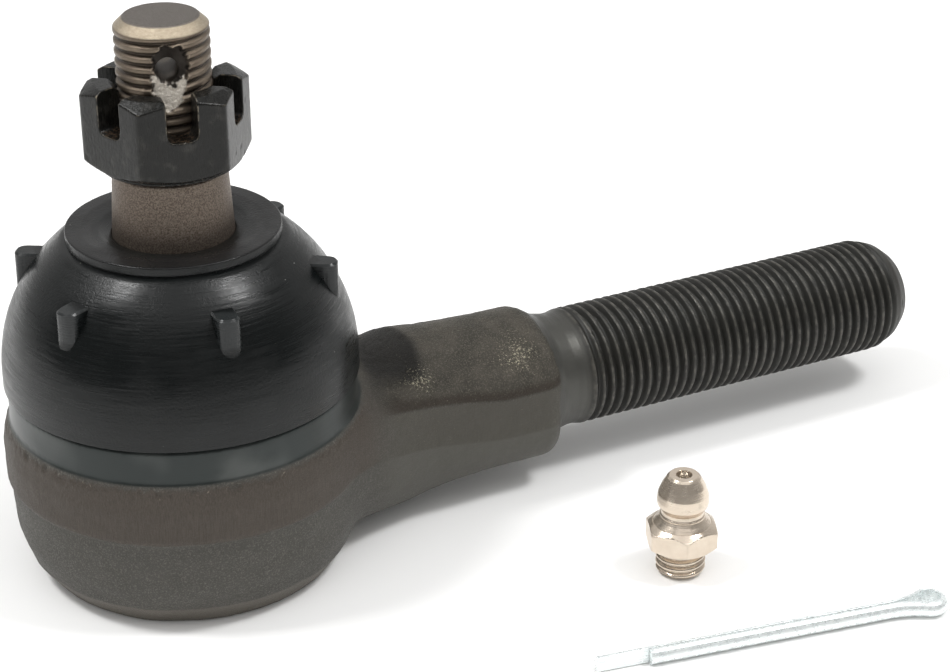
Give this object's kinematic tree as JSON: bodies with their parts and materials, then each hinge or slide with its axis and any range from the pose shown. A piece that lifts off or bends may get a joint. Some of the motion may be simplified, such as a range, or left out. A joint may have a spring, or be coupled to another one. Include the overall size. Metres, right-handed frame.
{
  "type": "tie rod end",
  "caption": "Outer tie rod end with tapered ball stud, castle nut, ribbed rubber boot and threaded shank, with loose grease fitting and split pin.",
  "frame": {"origin": "centre of the flat ring that the socket stands on, on the stud's axis", "axes": "+Z along the ball stud away from the socket, +X along the threaded shank"},
  "size_m": [0.1291, 0.0803, 0.0706],
  "materials": {
    "forged_steel": "rough as-forged skin, dark oxide",
    "pressed_steel": "satin, lightly oiled",
    "spring_steel": "tempered, dark",
    "sintered_iron": "matt, oil filled",
    "hardened_steel": "ground bright",
    "stud_steel": "bead blasted",
    "black_oxide": "black oxide, satin",
    "boot_rubber": "smooth moulded, slight sheen",
    "nickel_plate": "bright nickel plate",
    "zinc_plate": "bright zinc plate"
  },
  "bodies": {
    "socket": {"housing": "forged_steel", "cover_plate": "pressed_steel", "preload_spring": "spring_steel", "pressure_pad": "sintered_iron", "bearing_race": "hardened_steel"},
    "boot": {"dust_boot": "boot_rubber", "boot_insert_ring": "pressed_steel"},
    "half_ball": {"half_ball_bearing": "hardened_steel"},
    "stud": {"ball_stud": "stud_steel"},
    "nut": {"castle_nut": "black_oxide"},
    "fitting": {"grease_fitting_body": "nickel_plate", "grease_check_spring": "spring_steel"},
    "check_ball": {"grease_check_ball": "hardened_steel"},
    "split_pin": {"cotter_pin": "zinc_plate"}
  },
  "joints": [
    {"name": "boot_swivel", "type": "hinge", "parent": "socket", "child": "boot", "pos_m": [0, 0, 0.0134], "axis": [0, 0, 1], "continuous": true},
    {"name": "stud_tilt", "type": "hinge", "parent": "boot", "child": "half_ball", "pos_m": [0, 0, 0.0134], "axis": [1, 0, 0], "range_deg": [-20, 20], "deforming": ["dust_boot"]},
    {"name": "stud_spin", "type": "hinge", "parent": "half_ball", "child": "stud", "pos_m": [0, 0, 0.0134], "axis": [0, 0, 1], "continuous": true},
    {"name": "nut_unscrew", "type": "slide", "parent": "stud", "child": "nut", "axis": [0, 0, 1], "range_m": [0, 0.0185]},
    {"name": "fitting_lift", "type": "slide", "parent": "socket", "child": "fitting", "axis": [0, 0, 1], "range_m": [0, 0.05]},
    {"name": "check_ball_press", "type": "slide", "parent": "fitting", "child": "check_ball", "axis": [0, 0, -1], "range_m": [0, 0.0008], "stiffness_N_per_m": 200, "springref_m": -0.001, "deforming": ["grease_check_spring"]},
    {"name": "pin_lift", "type": "slide", "parent": "socket", "child": "split_pin", "axis": [0, 0, 1], "range_m": [0, 0.05]}
  ]
}
